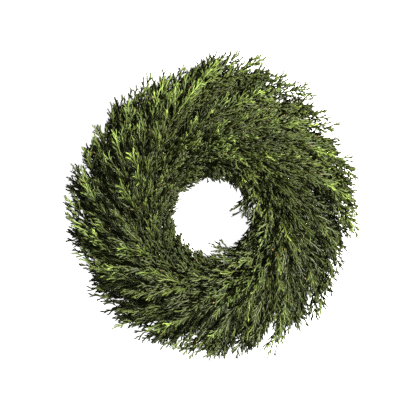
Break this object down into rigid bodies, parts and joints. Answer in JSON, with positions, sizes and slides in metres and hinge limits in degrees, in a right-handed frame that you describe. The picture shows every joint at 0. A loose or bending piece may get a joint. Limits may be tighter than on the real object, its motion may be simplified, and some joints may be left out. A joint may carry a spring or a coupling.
{
  "type": "cypress wreath",
  "caption": "Round evergreen wreath of cypress sprays bound to a wire ring, swirling clockwise round an open centre, lying on its back.",
  "frame": {"origin": "on the surface that the wreath lies on, under the middle of its bounding box", "axes": "+Z out of the wreath's face, +Y towards its top as hung, +X to the right seen from the front"},
  "size_m": [0.587, 0.6154, 0.131],
  "materials": {
    "ring_wire": "dark green enamelled heavy wire, slightly glossy",
    "binding_wire": "green lacquered thin florist's wire",
    "cypress_foliage": "fresh scale-leaved cypress, mid to dark green with yellow-green tips, matt with a faint waxy sheen; brown woody stems and rust-brown buds"
  },
  "bodies": {
    "root": {"ring_frame": "ring_wire", "binding_wire": "binding_wire", "spray_outer_01": "cypress_foliage", "spray_outer_02": "cypress_foliage", "spray_outer_03": "cypress_foliage", "spray_outer_04": "cypress_foliage", "spray_outer_05": "cypress_foliage", "spray_outer_06": "cypress_foliage", "spray_outer_07": "cypress_foliage", "spray_outer_08": "cypress_foliage", "spray_outer_09": "cypress_foliage", "spray_outer_10": "cypress_foliage", "spray_outer_11": "cypress_foliage", "spray_outer_12": "cypress_foliage", "spray_outer_13": "cypress_foliage", "spray_outer_14": "cypress_foliage", "spray_outer_15": "cypress_foliage", "spray_outer_16": "cypress_foliage", "spray_outer_17": "cypress_foliage", "spray_outer_18": "cypress_foliage", "spray_face_01": "cypress_foliage", "spray_face_02": "cypress_foliage", "spray_face_03": "cypress_foliage", "spray_face_04": "cypress_foliage", "spray_face_05": "cypress_foliage", "spray_face_06": "cypress_foliage", "spray_face_07": "cypress_foliage", "spray_face_08": "cypress_foliage", "spray_face_09": "cypress_foliage", "spray_face_10": "cypress_foliage", "spray_face_11": "cypress_foliage", "spray_face_12": "cypress_foliage", "spray_face_13": "cypress_foliage", "spray_face_14": "cypress_foliage", "spray_face_15": "cypress_foliage", "spray_face_16": "cypress_foliage", "spray_face_17": "cypress_foliage", "spray_face_18": "cypress_foliage", "spray_inner_01": "cypress_foliage", "spray_inner_02": "cypress_foliage", "spray_inner_03": "cypress_foliage", "spray_inner_04": "cypress_foliage", "spray_inner_05": "cypress_foliage", "spray_inner_06": "cypress_foliage", "spray_inner_07": "cypress_foliage", "spray_inner_08": "cypress_foliage", "spray_inner_09": "cypress_foliage", "spray_inner_10": "cypress_foliage", "spray_inner_11": "cypress_foliage", "spray_inner_12": "cypress_foliage", "spray_inner_13": "cypress_foliage", "spray_inner_14": "cypress_foliage", "spray_inner_15": "cypress_foliage", "spray_inner_16": "cypress_foliage", "spray_inner_17": "cypress_foliage", "spray_inner_18": "cypress_foliage"}
  },
  "joints": []
}
